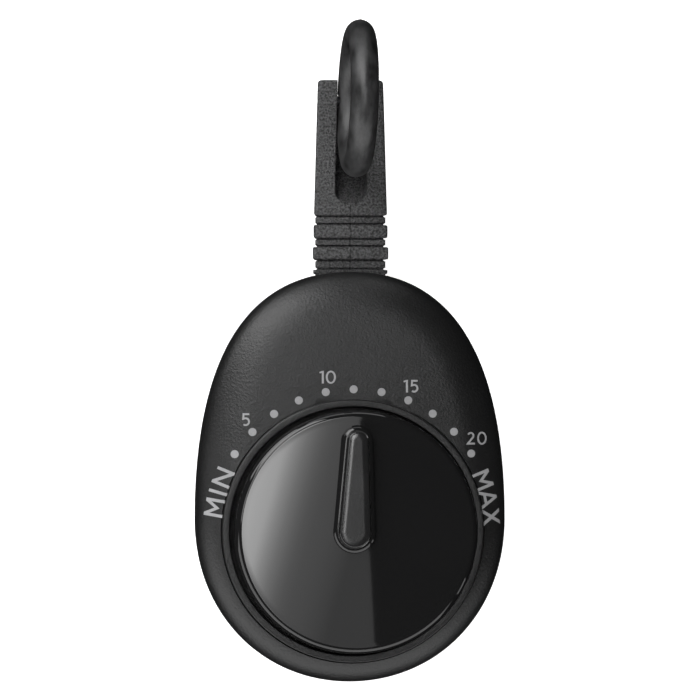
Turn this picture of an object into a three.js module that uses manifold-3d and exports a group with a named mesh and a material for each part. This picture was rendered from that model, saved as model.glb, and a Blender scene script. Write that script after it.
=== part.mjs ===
// A wind-up kitchen timer on a ribbed hanger arm with a hanging ring.
// Millimetres. The timer lies on its back: +Z points out of the dial, +Y towards the
// ring, +X to the right of the dial. The origin is on the flat back, under the knob's axis.
import * as THREE from 'three';
import { mergeVertices } from 'three/addons/utils/BufferGeometryUtils.js';
import Module from 'manifold-3d';

// Clearances
const GAP = 0.3;            // between pieces that touch or are screwed together
const REACH = 60;           // how far cutting tools run past a piece

// Housing
const WIDEST_X = 31.1;      // half width
const WIDEST_Y = 2.2;       // where it is widest
const BOTTOM_Y = -30.3;
const TOP_Y = 51.9;
const BOTTOM_PULL = 17.4;   // how far the outline's curves pull outward at the ends
const TOP_PULL = 26.1;
const LOW_PULL_Y = -17;     // and along the sides
const HIGH_PULL_Y = 24.6;
const FACE_Z = 22.7;        // dial face
const SPLIT_Z = 9;          // joint between front housing and rear cover
const WALL = 2;
const SHOULDER_RISE = 6;    // rolled edge of the front
const SHOULDER_INSET = 12;
const BACK_RISE = FACE_Z - SHOULDER_RISE;  // long round of the sides towards the back
const BACK_INSET = 4.5;
const WELL_R = 24.7;        // round well the knob turns in
const COLLAR_R = 26.15;     // collar round the well
const WELL_FLOOR_Z = 20.6;
const SHAFT_HOLE_R = 3.4;
const SADDLE_X = 12;        // block under the arm's flange
const SADDLE_Y = 42.4;
const VENT = { count: 3, x: 6, pitch: 3.5, reach: 9, shorter: 2, halfWidth: 0.8, endR: 0.75 };

// Knob
const DIAL_SWING = THREE.MathUtils.degToRad(75);  // either way from twelve o'clock
const KNOB_R = 24.05;
const KNOB_LOW_Z = 21.1;
const KNOB_EDGE_Z = 29;
const KNOB_TOP_Z = 29.7;
const KNOB_FILLET = 1.1;
const KNOB_WALL = 1.8;
const HUB_R = 4;
const HUB_CLIP = { r: 4.3, wall: 0.6, z: [22, 23.4], mouth: 0.9 };
const GRIP_TOP_Z = 30.6;
const GRIP = { tipY: 17.95, tipR: 2.95, rootY: 0.1, rootR: 4.1 };
const GRIP_FOOT = 1.5;      // how far the grip reaches down into the cap
const GRIP_EDGE = 0.5;
const INLAY = { tipY: 17.95, tipR: 2, rootY: 0.15, rootR: 3.1 };
const INLAY_Z = [29.9, 31.3];
const INLAY_EDGE = 0.6;

// Hanger arm and ring
const ARM_Z = [7.2, 17.4];
const ARM_TOP_Y = 90;
const ARM_TOP_X = 6.6;      // half width at the top
const ARM_LOW_Y = 62.9;
const ARM_LOW_X = 7.35;     // half width at the first groove
const ARM_EDGE = 0.6;
const ARM_DRAFT = Math.tan(THREE.MathUtils.degToRad(7));  // sides lean in towards the back
const ARM_WIDEST_Z = 16.5;
const NECK_X = 7.08;        // half width in the grooves
const NECK_EDGE = 0.8;
const RIBS = [              // low Y, high Y, half width
  [58.4, 61, 7.45],
  [54.1, 56.6, 7.6],
];
const RIB_PROUD = 0.5;      // ribs over the neck, front and back
const NECK_INSET = 0.4;     // neck under the arm's face, front and back
const NECK_Z = [ARM_Z[0] + NECK_INSET + RIB_PROUD, ARM_Z[1] - NECK_INSET];
const FLANGE = { x: 10, y: [44.9, 47.2], z: [9.6, 18.2] };
const SLOT_X = 3.3;         // half width
const SLOT_LOW_Y = 65.1;
const RING_R = 12.8;        // centre line
const RING_TUBE_R = 2.77;
const RING_LEAN = THREE.MathUtils.degToRad(1.4);
const RING_LEAN_Y = 76;     // height where the leaning ring crosses the middle plane
const PIN_Y = 85.7;
const PIN_Z = 15.4;
const PIN_R = 1.15;
const PIN_X = 6.2;          // half length
const PIN_FIT = 0.35;       // ring hole over the pin
const RING_DOWN = THREE.MathUtils.degToRad(-35);
const RING_UP = THREE.MathUtils.degToRad(93);

// Movement
const BACK_PLATE_Z = [7.6, 8.4];
const FRONT_PLATE_Z = [16.6, 17.4];
const PLATE_DISCS = [[0, 0, 20.5], [-4, 15, 19]];
const MODULE = 0.6;
const TRAIN_R = 16.6;       // distance of the small arbors from the main arbor
const ARBOR_R = 0.8;
const PIVOT_HOLE_R = 1.15;
const ARBOR_Z = [7.7, 17.3];
const SHAFT_BUSH = { r: 3.1, flangeR: 4.2, z: [17.7, 18.3, 20.9] };
const MAIN_ARBOR_R = 2;
const MAIN_ARBOR_Z = [7.7, 26.2];
const FLAT_X = 1.4;         // flat of the D-shaped knob end
const GREAT_WHEEL = { teeth: 48, z: [12, 12.8] };
const SECOND_PINION = { teeth: 12, z: [11.8, 13.2] };
const SECOND_WHEEL = { teeth: 36, z: [15, 15.6] };
const THIRD_PINION = { teeth: 12, z: [14.7, 16] };
const THIRD_WHEEL = { teeth: 24, z: [13.5, 14.1] };
const ESCAPE_PINION = { teeth: 12, z: [13.3, 14.4] };
const ESCAPE_WHEEL = { teeth: 15, tipR: 6, rootR: 4.9, z: [15, 15.6] };
const PALLET_DISTANCE = 9;
const PALLET_CLEAR = 1.9;   // pallet's middle to the escape wheel's tips
const PALLET_Z = [14.9, 15.7];
const BALANCE = { r: 7, rim: 1.1, z: [9.3, 10.3] };
const SPRING = { inner: 2.7, outer: 8.8, turns: 3.5, strip: 0.35, z: [8.8, 11.6] };
const CAM = { r: 4.6, notch: 1.2, z: [13.7, 14.5] };
const PILLARS = [[15.5, 9.5], [9, -16], [-11, 29]];
const PILLAR_R = 2.2;
const MOVEMENT_SCREW = { r: 1, headR: 1.8, z: [6.3, 7.3, 19.7] };

// Bell and hammer
const BELL = { r: 14, z: [3.2, 6.9], wall: 0.8, flatR: 4 };
const BELL_POST = { r: 2.2, z: [4.3, 7.3] };
const BELL_SCREW = { r: 0.9, headR: 2, z: [2.3, 2.9, 6.8] };
const HAMMER_AT = [17.2, -1];
const HAMMER_Z = [4.6, 6];
const TRIP_Z = [13.6, 14.6];
const TRIP_END_R = 0.6;
const TRIP_TIP_R = 5.1;     // how near the trip lever comes to the main arbor
const HAMMER_HEAD_R = 1.5;
const COIL_STEPS = 9;
const HAMMER_COIL = { r: 1.5, wireR: 0.25, turns: 2, z: [9, 11.4] };

// Screws through the rear cover
const COVER_SCREWS = [[12.6, -21.6], [-12.6, -21.6], [16.4, 37.2], [-16.4, 37.2]];
const BOSS_R = 2.6;
const COVER_SCREW = { r: 1, headR: 1.8, z: [0.7, 2.1, 15] };
const SCREW_HOLE_R = 1.3;
const HEAD_HOLE_R = 2.2;
const HEAD_SEAT_Z = 2.4;

const FINISH = {
  shell: { color: 0x35373a, roughness: 0.5, metalness: 0 },
  soft: { color: 0x3b3d40, roughness: 0.7, metalness: 0 },
  gloss: { color: 0x0b0b0d, roughness: 0.06, metalness: 0 },
  satin: { color: 0x5a5c60, roughness: 0.35, metalness: 0 },
  steel: { color: 0xa8abb0, roughness: 0.3, metalness: 1 },
  brass: { color: 0xc9a552, roughness: 0.3, metalness: 1 },
  spring: { color: 0x5d6268, roughness: 0.35, metalness: 1 },
};

const wasm = await Module();
wasm.setup();

// ---- Solids ----

function solid(geometry) {
  const bare = geometry.index ? geometry.toNonIndexed() : geometry.clone();
  bare.deleteAttribute('normal');
  bare.deleteAttribute('uv');
  const merged = mergeVertices(bare);
  const corners = merged.index.array;
  const triVerts = [];
  for (let i = 0; i < corners.length; i += 3) {
    const [a, b, c] = corners.slice(i, i + 3);
    if (a !== b && b !== c && c !== a) triVerts.push(a, b, c);
  }
  return new wasm.Manifold(new wasm.Mesh({
    numProp: 3,
    vertProperties: new Float32Array(merged.attributes.position.array),
    triVerts: new Uint32Array(triVerts),
  }));
}

function geometryOf(body) {
  const mesh = body.getMesh();
  const geometry = new THREE.BufferGeometry();
  geometry.setAttribute('position', new THREE.BufferAttribute(mesh.vertProperties, 3));
  geometry.setIndex(new THREE.BufferAttribute(mesh.triVerts, 1));
  geometry.computeVertexNormals();
  return geometry;
}

const cut = (body, ...tools) => tools.reduce((left, tool) => left.subtract(tool), body);
const join = (body, ...others) => others.reduce((left, other) => left.add(other), body);

function box(x, y, z) {
  const geometry = new THREE.BoxGeometry(x[1] - x[0], y[1] - y[0], z[1] - z[0]);
  geometry.translate((x[0] + x[1]) / 2, (y[0] + y[1]) / 2, (z[0] + z[1]) / 2);
  return solid(geometry);
}

// A cylinder along Z.
function rod(radius, z, [x, y] = [0, 0], sides = 20) {
  const geometry = new THREE.CylinderGeometry(radius, radius, z[1] - z[0], sides);
  geometry.rotateX(Math.PI / 2);
  geometry.translate(x, y, (z[0] + z[1]) / 2);
  return solid(geometry);
}

// A cylinder along X, centred on the middle plane.
function crossRod(radius, halfLength, y, z, sides = 20) {
  const geometry = new THREE.CylinderGeometry(radius, radius, 2 * halfLength, sides);
  geometry.rotateZ(Math.PI / 2);
  geometry.translate(0, y, z);
  return solid(geometry);
}

// A profile of [radius, z] points turned about Z.
function turned(points, sides) {
  const profile = points.map(([radius, z]) => new THREE.Vector2(radius, z));
  const geometry = new THREE.LatheGeometry(profile, sides);
  geometry.rotateX(Math.PI / 2);
  return solid(geometry);
}

// A shape in X and Y, extruded from z[0] to z[1], with a quarter-ellipse edge that rises
// by `rise` over `inset`, and the whole outline moved out by `grow`.
function prism(shape, z, { rise = 0, inset = rise, steps = 1, grow = 0, curve = 10 } = {}) {
  const geometry = new THREE.ExtrudeGeometry(shape, {
    depth: z[1] - z[0] - 2 * rise,
    bevelEnabled: rise > 0,
    bevelThickness: rise,
    bevelSize: inset,
    bevelOffset: grow - inset,
    bevelSegments: steps,
    curveSegments: curve,
  });
  geometry.translate(0, 0, z[0] + rise);
  return solid(geometry);
}

// ---- Outlines ----

function eggOutline() {
  const egg = new THREE.Shape();
  egg.moveTo(0, BOTTOM_Y);
  egg.bezierCurveTo(BOTTOM_PULL, BOTTOM_Y, WIDEST_X, LOW_PULL_Y, WIDEST_X, WIDEST_Y);
  egg.bezierCurveTo(WIDEST_X, HIGH_PULL_Y, TOP_PULL, TOP_Y, 0, TOP_Y);
  egg.bezierCurveTo(-TOP_PULL, TOP_Y, -WIDEST_X, HIGH_PULL_Y, -WIDEST_X, WIDEST_Y);
  egg.bezierCurveTo(-WIDEST_X, LOW_PULL_Y, -BOTTOM_PULL, BOTTOM_Y, 0, BOTTOM_Y);
  return egg;
}

// Two circles on the Y axis joined by their outer tangents.
function teardrop({ tipY, tipR, rootY, rootR }, grow = 0) {
  const lean = Math.asin((rootR - tipR) / (tipY - rootY));
  const drop = new THREE.Shape();
  drop.absarc(0, tipY, tipR + grow, lean, Math.PI - lean);
  drop.absarc(0, rootY, rootR + grow, Math.PI - lean, 2 * Math.PI + lean);
  drop.closePath();
  return drop;
}

function roundedBar(halfWidth, low, high, radius) {
  const bar = new THREE.Shape();
  bar.moveTo(halfWidth, low + radius);
  bar.absarc(halfWidth - radius, high - radius, radius, 0, Math.PI / 2);
  bar.absarc(radius - halfWidth, high - radius, radius, Math.PI / 2, Math.PI);
  bar.absarc(radius - halfWidth, low + radius, radius, Math.PI, 1.5 * Math.PI);
  bar.absarc(halfWidth - radius, low + radius, radius, 1.5 * Math.PI, 2 * Math.PI);
  return bar;
}

// ---- Housing ----

const BACK_ROUND = { rise: BACK_RISE, inset: BACK_INSET, curve: 9 };

// The sides between the back at `low` and the widest height, carried on upward.
const sides = (low, more) => prism(eggOutline(), [low, REACH], { ...BACK_ROUND, ...more });

// What the neck passes through in both halves of the housing.
function neckHole() {
  const x = NECK_X + GAP;
  return box([-x, x], [FLANGE.y[0], REACH], [NECK_Z[0] - GAP, NECK_Z[1] + GAP]);
}

function frontHousing() {
  const shoulder = { rise: SHOULDER_RISE, inset: SHOULDER_INSET, curve: 9 };
  const low = SPLIT_Z - 2 * SHOULDER_RISE;
  const crown = prism(eggOutline(), [low, FACE_Z], { ...shoulder, steps: 5 });
  const outside = crown.intersect(sides(0, { steps: 6 }));
  const ceiling = prism(eggOutline(), [low, FACE_Z - WALL], { ...shoulder, steps: 2, grow: -WALL });
  const cavity = ceiling.intersect(sides(WALL, { steps: 3, grow: -WALL }));
  const cupZ = WELL_FLOOR_Z - WALL;
  const collar = rod(COLLAR_R, [cupZ, FACE_Z], [0, 0], 48);
  const towers = COVER_SCREWS.map((at) => rod(BOSS_R, [SPLIT_Z, FACE_Z], at, 12));
  const pads = PILLARS.map((at) => rod(PILLAR_R, [FRONT_PLATE_Z[1] + GAP, FACE_Z], at, 12));
  const saddle = box([-SADDLE_X, SADDLE_X], [SADDLE_Y, FLANGE.y[0] - GAP], [SPLIT_Z, FACE_Z]);
  const inner = join(saddle, ...towers, ...pads).intersect(outside);
  const body = join(cut(outside, cut(cavity, collar)), inner, collar);
  const well = rod(WELL_R, [WELL_FLOOR_Z, FACE_Z + 1], [0, 0], 48);
  const shaftHole = rod(SHAFT_HOLE_R, [cupZ - 1, WELL_FLOOR_Z + 1]);
  const tapped = [
    ...COVER_SCREWS.map((at) => rod(SCREW_HOLE_R, [0, COVER_SCREW.z[2] + GAP], at, 8)),
    ...PILLARS.map((at) => rod(SCREW_HOLE_R, [0, MOVEMENT_SCREW.z[2] + GAP], at, 8)),
  ];
  const flangeX = [-FLANGE.x - GAP, FLANGE.x + GAP];
  const flangeY = [FLANGE.y[0] - GAP, FLANGE.y[1] + GAP];
  const flangeHole = box(flangeX, flangeY, [0, FLANGE.z[1] + GAP]);
  const below = box([-REACH, REACH], [-REACH, REACH], [-REACH, SPLIT_Z + GAP]);
  return cut(body, well, shaftHole, ...tapped, neckHole(), flangeHole, below);
}

function rearCover() {
  const cavity = sides(WALL, { steps: 4, grow: -WALL });
  const towers = COVER_SCREWS.map((at) => rod(BOSS_R, [WALL / 2, SPLIT_Z], at, 12));
  const body = join(cut(sides(0, { steps: 6 }), cavity), ...towers);
  const holes = COVER_SCREWS.flatMap((at) => [
    rod(SCREW_HOLE_R, [-1, SPLIT_Z + 1], at, 8),
    rod(HEAD_HOLE_R, [-1, HEAD_SEAT_Z], at, 12),
  ]);
  const slots = [];
  for (const side of [-1, 1]) {
    for (let step = 0; step < VENT.count; step += 1) {
      const x = side * (VENT.x + VENT.pitch * step);
      const reach = VENT.reach - VENT.shorter * step;
      const opening = roundedBar(VENT.halfWidth, -reach, reach, VENT.endR);
      slots.push(prism(opening, [-1, WALL + 1], { curve: 2 }).translate([x, 0, 0]));
    }
  }
  const above = box([-REACH, REACH], [-REACH, REACH], [SPLIT_Z, 2 * REACH]);
  return cut(body, ...holes, ...slots, neckHole(), above);
}

// ---- Knob ----

function dialKnob() {
  const inR = KNOB_R - KNOB_WALL;
  const inZ = KNOB_EDGE_Z - KNOB_WALL;
  const cap = turned([
    [0, KNOB_TOP_Z - KNOB_WALL],
    [inR - 1, inZ],
    [inR, inZ - 1],
    [inR, KNOB_LOW_Z],
    [KNOB_R, KNOB_LOW_Z],
    [KNOB_R, KNOB_EDGE_Z - KNOB_FILLET],
    [KNOB_R - KNOB_FILLET / 3, KNOB_EDGE_Z - KNOB_FILLET / 3],
    [KNOB_R - KNOB_FILLET, KNOB_EDGE_Z],
    [KNOB_R / 2, (KNOB_EDGE_Z + 3 * KNOB_TOP_Z) / 4],
    [0, KNOB_TOP_Z],
  ], 40);
  const hub = rod(HUB_R, [KNOB_LOW_Z, KNOB_TOP_Z - 1]);
  const gripZ = [KNOB_EDGE_Z - GRIP_FOOT, GRIP_TOP_Z];
  const grip = prism(teardrop(GRIP), gripZ, { rise: GRIP_EDGE, steps: 2, curve: 6 });
  const recessZ = [INLAY_Z[0] - GAP, GRIP_TOP_Z + 1];
  const recess = prism(teardrop(INLAY, GAP), recessZ, { curve: 6 });
  const bore = cut(
    rod(MAIN_ARBOR_R + GAP, [KNOB_LOW_Z - 1, MAIN_ARBOR_Z[1] + GAP]),
    box([FLAT_X + GAP, REACH], [-REACH, REACH], [SPLIT_Z, KNOB_TOP_Z]),
  );
  return cut(join(cap, hub, grip), recess, bore);
}

// A C-shaped spring that squeezes the hub on its arbor.
function hubClip() {
  const { r, wall, z, mouth } = HUB_CLIP;
  const band = new THREE.Shape();
  band.absarc(0, 0, r + wall, mouth / 2, 2 * Math.PI - mouth / 2);
  band.absarc(0, 0, r, 2 * Math.PI - mouth / 2, mouth / 2, true);
  band.closePath();
  return prism(band, z, { curve: 10 });
}

const gripInlay = () => (
  prism(teardrop(INLAY), INLAY_Z, { rise: INLAY_EDGE, steps: 2, curve: 6 })
);

// ---- Hanger arm and ring ----

function armSlot() {
  const front = new THREE.Shape();
  front.moveTo(SLOT_X, REACH * 2);
  front.lineTo(-SLOT_X, REACH * 2);
  front.lineTo(-SLOT_X, SLOT_LOW_Y + SLOT_X);
  front.absarc(0, SLOT_LOW_Y + SLOT_X, SLOT_X, Math.PI, 2 * Math.PI);
  front.closePath();
  const sweep = [RING_DOWN, RING_UP].map((angle) => {
    const y = PIN_Y + RING_R * Math.sin(angle);
    const z = PIN_Z + RING_R * Math.cos(angle);
    return crossRod(RING_R + RING_TUBE_R + GAP, SLOT_X + 1, y, z, 56);
  });
  return prism(front, [0, REACH], { curve: 8 }).intersect(join(...sweep));
}

// Both sides cut back to a half width that shrinks by `taper` for each millimetre of
// height, and leans in behind the arm's widest plane.
function drafted(body, halfWidth, y = 0, taper = 0) {
  const reach = Math.hypot(1, taper, ARM_DRAFT);
  const offset = (ARM_DRAFT * ARM_WIDEST_Z - halfWidth - taper * y) / reach;
  return [-1, 1].reduce(
    (left, side) => left.trimByPlane([side, -taper, ARM_DRAFT], offset),
    body,
  );
}

// A rounded bar lying across the arm, between two heights.
function neckBar(halfWidth, y, z) {
  const bar = prism(roundedBar(halfWidth, z[0], z[1], NECK_EDGE), [-y[1], -y[0]], { curve: 2 });
  return drafted(bar.rotate([90, 0, 0]), halfWidth);
}

function hangerArm() {
  const front = new THREE.Shape();
  front.moveTo(ARM_LOW_X, ARM_LOW_Y);
  front.lineTo(ARM_TOP_X, ARM_TOP_Y - NECK_EDGE);
  front.lineTo(ARM_TOP_X - NECK_EDGE, ARM_TOP_Y);
  front.lineTo(NECK_EDGE - ARM_TOP_X, ARM_TOP_Y);
  front.lineTo(-ARM_TOP_X, ARM_TOP_Y - NECK_EDGE);
  front.lineTo(-ARM_LOW_X, ARM_LOW_Y);
  front.closePath();
  const taper = (ARM_LOW_X - ARM_TOP_X) / (ARM_TOP_Y - ARM_LOW_Y);
  const bar = prism(front, ARM_Z, { rise: ARM_EDGE });
  const blade = drafted(bar, ARM_LOW_X, ARM_LOW_Y, taper);
  const ribZ = [ARM_Z[0] + NECK_INSET - RIB_PROUD, NECK_Z[1] + RIB_PROUD];
  const neck = neckBar(NECK_X, [FLANGE.y[0] + 1, ARM_LOW_Y + 1], NECK_Z);
  const ribs = RIBS.map(([low, high, halfWidth]) => neckBar(halfWidth, [low, high], ribZ));
  const flange = box([-FLANGE.x, FLANGE.x], FLANGE.y, FLANGE.z);
  const pinHole = crossRod(PIN_R + GAP, REACH, PIN_Y, PIN_Z, 16);
  return cut(join(blade, neck, ...ribs, flange), armSlot(), pinHole);
}

// Built round its pin, with the ring standing out along +Z.
function hangingRing() {
  const torus = new THREE.TorusGeometry(RING_R, RING_TUBE_R, 10, 36);
  torus.rotateY(Math.PI / 2);
  torus.translate(0, 0, RING_R);
  return cut(solid(torus), crossRod(PIN_R + PIN_FIT, REACH, 0, 0, 16));
}

// ---- Movement ----

// Where a piece stands that is `a` away from point p and `b` away from the main arbor,
// anticlockwise of p.
function standAt(p, a, b) {
  const far = Math.hypot(p[0], p[1]);
  const turn = Math.acos((far * far + b * b - a * a) / (2 * far * b));
  const angle = Math.atan2(p[1], p[0]) + turn;
  return [b * Math.cos(angle), b * Math.sin(angle)];
}

const pitchR = (teeth) => (teeth * MODULE) / 2;
const mesh = (wheel, pinion) => pitchR(wheel.teeth) + pitchR(pinion.teeth);
const bearing = (from, to) => Math.atan2(to[1] - from[1], to[0] - from[0]);

const MAIN_AT = [0, 0];
const SECOND_AT = [0, mesh(GREAT_WHEEL, SECOND_PINION)];
const THIRD_AT = standAt(SECOND_AT, mesh(SECOND_WHEEL, THIRD_PINION), TRAIN_R);
const ESCAPE_AT = standAt(THIRD_AT, mesh(THIRD_WHEEL, ESCAPE_PINION), TRAIN_R);
const BALANCE_AT = standAt(ESCAPE_AT, PALLET_DISTANCE, TRAIN_R);

// Teeth in a ring; a tooth's middle lies at angle `phase`.
function toothOutline(teeth, phase) {
  const radius = pitchR(teeth);
  const step = (2 * Math.PI) / teeth;
  const corners = [
    [-0.24, radius - 1.1 * MODULE],
    [-0.07, radius + 0.75 * MODULE],
    [0.07, radius + 0.75 * MODULE],
    [0.24, radius - 1.1 * MODULE],
  ];
  const points = [];
  for (let tooth = 0; tooth < teeth; tooth += 1) {
    for (const [part, r] of corners) {
      const angle = phase + (tooth + part) * step;
      points.push(new THREE.Vector2(r * Math.cos(angle), r * Math.sin(angle)));
    }
  }
  return new THREE.Shape(points);
}

// A brass wheel with round lightening holes, bored for its arbor.
const HOLE_AT = 0.58;       // parts of the wheel's pitch radius
const HOLE_SIZE = 0.22;

function wheel({ teeth, z }, phase, boreR, holes = 4) {
  const blank = prism(toothOutline(teeth, phase), z);
  const radius = pitchR(teeth);
  const tools = [rod(boreR, [0, REACH], [0, 0], 16)];
  for (let i = 0; i < holes; i += 1) {
    const angle = phase + ((i + 0.5) * 2 * Math.PI) / holes;
    const at = [radius * HOLE_AT * Math.cos(angle), radius * HOLE_AT * Math.sin(angle)];
    tools.push(rod(radius * HOLE_SIZE, [0, REACH], at, 8));
  }
  return cut(blank, ...tools);
}

// A steel pinion cut on its own arbor.
function pinion({ teeth, z }, phase) {
  return join(prism(toothOutline(teeth, phase), z), rod(ARBOR_R, ARBOR_Z, [0, 0], 12));
}

function escapeWheel() {
  const { teeth, tipR, rootR, z } = ESCAPE_WHEEL;
  const step = (2 * Math.PI) / teeth;
  const points = [];
  for (let tooth = 0; tooth < teeth; tooth += 1) {
    for (const [part, r] of [[0, tipR], [0.12, tipR], [0.35, rootR], [0.95, rootR]]) {
      const angle = (tooth + part) * step;
      points.push(new THREE.Vector2(r * Math.cos(angle), r * Math.sin(angle)));
    }
  }
  return cut(prism(new THREE.Shape(points), z), rod(ARBOR_R + GAP, [0, REACH], [0, 0], 12));
}

// Two pallets reach round the escape wheel and stay just outside its tips.
function palletAnchor() {
  const towards = bearing(BALANCE_AT, ESCAPE_AT);
  const centre = new THREE.Vector2(PALLET_DISTANCE, 0);
  const palletR = ESCAPE_WHEEL.tipR + PALLET_CLEAR;
  const hub = rod(1.9, PALLET_Z, [0, 0], 16);
  const arms = [-1, 1].map((side) => {
    const reach = Math.PI - side * THREE.MathUtils.degToRad(52);
    const tip = new THREE.Vector2(palletR * Math.cos(reach), palletR * Math.sin(reach)).add(centre);
    const arm = prism(roundedBar(0.7, 0, tip.length() + 0.7, 0.65), PALLET_Z, { curve: 3 });
    const swing = THREE.MathUtils.radToDeg(Math.atan2(tip.y, tip.x)) - 90;
    return arm.rotate([0, 0, swing]);
  });
  const anchor = cut(join(hub, ...arms), rod(ARBOR_R + GAP, [0, REACH], [0, 0], 12));
  return anchor.rotate([0, 0, THREE.MathUtils.radToDeg(towards)]);
}

function balanceWheel() {
  const { r, rim, z } = BALANCE;
  const hoop = cut(rod(r, z, [0, 0], 24), rod(r - rim, [0, REACH], [0, 0], 24));
  const bar = box([-r + rim / 2, r - rim / 2], [-0.7, 0.7], z);
  const hub = rod(1.9, z, [0, 0], 16);
  return cut(join(hoop, bar, hub), rod(ARBOR_R + GAP, [0, REACH], [0, 0], 12));
}

function mainspring() {
  const { inner, outer, turns, strip, z } = SPRING;
  const count = Math.round(turns * 16);
  const edge = (offset) => {
    const points = [];
    for (let i = 0; i <= count; i += 1) {
      const angle = (i / count) * turns * 2 * Math.PI;
      const r = inner + offset + ((outer - inner - strip) * i) / count;
      points.push(new THREE.Vector2(r * Math.cos(angle), r * Math.sin(angle)));
    }
    return points;
  };
  return prism(new THREE.Shape([...edge(strip), ...edge(0).reverse()]), z);
}

function mainArbor() {
  const shaft = rod(MAIN_ARBOR_R, MAIN_ARBOR_Z);
  const flat = box([FLAT_X, REACH], [-REACH, REACH], [KNOB_LOW_Z, REACH]);
  return cut(shaft, flat);
}

function shaftBush() {
  const { r, flangeR, z } = SHAFT_BUSH;
  const bore = rod(MAIN_ARBOR_R + GAP, [0, REACH], [0, 0], 16);
  return cut(join(rod(r, [z[0], z[2]], [0, 0], 16), rod(flangeR, [z[0], z[1]], [0, 0], 16)), bore);
}

// The notch faces the trip lever when the dial is back at its low end.
function alarmCam() {
  const { r, notch, z } = CAM;
  const disc = rod(r, z, [0, 0], 32);
  const notchAngle = bearing(MAIN_AT, HAMMER_AT) - DIAL_SWING;
  const drop = rod(notch, [0, REACH], [r * Math.cos(notchAngle), r * Math.sin(notchAngle)], 12);
  return cut(disc, drop, rod(MAIN_ARBOR_R + GAP, [0, REACH]));
}

function plate(z) {
  const discs = PLATE_DISCS.map(([x, y, r]) => rod(r, z, [x, y], 30));
  const arbors = [SECOND_AT, THIRD_AT, ESCAPE_AT, BALANCE_AT, HAMMER_AT];
  const holes = [
    rod(MAIN_ARBOR_R + GAP, [0, REACH]),
    ...arbors.map((at) => rod(PIVOT_HOLE_R, [0, REACH], at, 8)),
    ...PILLARS.map((at) => rod(SCREW_HOLE_R, [0, REACH], at, 8)),
  ];
  return cut(join(...discs), ...holes);
}

function pillar() {
  const z = [BACK_PLATE_Z[1] + GAP, FRONT_PLATE_Z[0] - GAP];
  return cut(rod(PILLAR_R, z, [0, 0], 12), rod(SCREW_HOLE_R, [0, REACH], [0, 0], 8));
}

// A screw along Z: z holds the head's two ends and the tip, head first.
function screw({ r, headR, z }) {
  const body = join(rod(headR, [z[0], z[1]], [0, 0], 12), rod(r, [z[0], z[2]], [0, 0], 8));
  const driver = box([-headR, headR], [-0.3, 0.3], [z[0] - 1, z[0] + 0.5]);
  return cut(body, driver);
}

// ---- Bell and hammer ----

function bell() {
  const { r, z, wall, flatR } = BELL;
  const bore = BELL_SCREW.r + GAP;
  const arc = (radius, low, high) => [0, 1 / 3, 2 / 3, 1].map((part) => {
    const angle = (part * Math.PI) / 2;
    const out = flatR + (radius - flatR) * Math.sin(angle);
    return [out, low + (high - low) * (1 - Math.cos(angle))];
  });
  const outside = arc(r, z[0], z[1]);
  const inside = arc(r - wall, z[0] + wall, z[1]).reverse();
  const hole = [[bore, z[0] + wall], [bore, z[0]]];
  return turned([...outside, ...inside, ...hole, outside[0]], 24);
}

const bellPost = () => cut(
  rod(BELL_POST.r, BELL_POST.z, [0, 0], 16),
  rod(BELL_SCREW.r + GAP, [0, REACH], [0, 0], 12),
);

const hammerArbor = () => rod(ARBOR_R, [HAMMER_Z[0], ARBOR_Z[1]], [0, 0], 12);

// A flat lever from the hammer's arbor to a point, with a round end.
function lever(target, endR, z) {
  const length = Math.hypot(target[0] - HAMMER_AT[0], target[1] - HAMMER_AT[1]);
  const hub = rod(1.8, z, [0, 0], 16);
  const arm = box([0, length], [-0.6, 0.6], z);
  const end = rod(endR, z, [length, 0], 16);
  const body = cut(join(hub, arm, end), rod(ARBOR_R + GAP, [0, REACH], [0, 0], 12));
  return body.rotate([0, 0, THREE.MathUtils.radToDeg(bearing(HAMMER_AT, target))]);
}

// The torsion spring round the hammer's arbor.
function hammerSpring() {
  const { r, wireR, turns, z } = HAMMER_COIL;
  const points = [];
  const count = turns * COIL_STEPS;
  for (let i = 0; i <= count; i += 1) {
    const angle = (i / COIL_STEPS) * 2 * Math.PI;
    const height = z[0] + ((z[1] - z[0]) * i) / count;
    points.push(new THREE.Vector3(r * Math.cos(angle), r * Math.sin(angle), height));
  }
  const wire = new THREE.Shape();
  wire.absarc(0, 0, wireR, 0, 2 * Math.PI);
  const geometry = new THREE.ExtrudeGeometry(wire, {
    extrudePath: new THREE.CatmullRomCurve3(points),
    steps: count,
    curveSegments: 5,
    bevelEnabled: false,
  });
  return solid(geometry);
}

function hammerTarget() {
  const radius = BELL.r + HAMMER_HEAD_R + 0.4;
  const angle = THREE.MathUtils.degToRad(-42);
  return [radius * Math.cos(angle), radius * Math.sin(angle)];
}

// ---- Assembly ----

const timer = new THREE.Group();

function add(parent, name, finish, body, [x, y] = [0, 0]) {
  const part = new THREE.Mesh(geometryOf(body), new THREE.MeshStandardMaterial(FINISH[finish]));
  part.name = name;
  part.position.set(x, y, 0);
  parent.add(part);
}

add(timer, 'front_housing', 'shell', frontHousing());
add(timer, 'rear_cover', 'shell', rearCover());
COVER_SCREWS.forEach((at, i) => {
  add(timer, `cover_screw_${i + 1}`, 'steel', screw(COVER_SCREW), at);
});

add(timer, 'dial_knob', 'gloss', dialKnob());
add(timer, 'grip_inlay', 'satin', gripInlay());
add(timer, 'hub_clip', 'spring', hubClip());

add(timer, 'hanger_arm', 'soft', hangerArm());
add(timer, 'ring_pin', 'steel', crossRod(PIN_R, PIN_X, PIN_Y, PIN_Z, 16));

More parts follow.
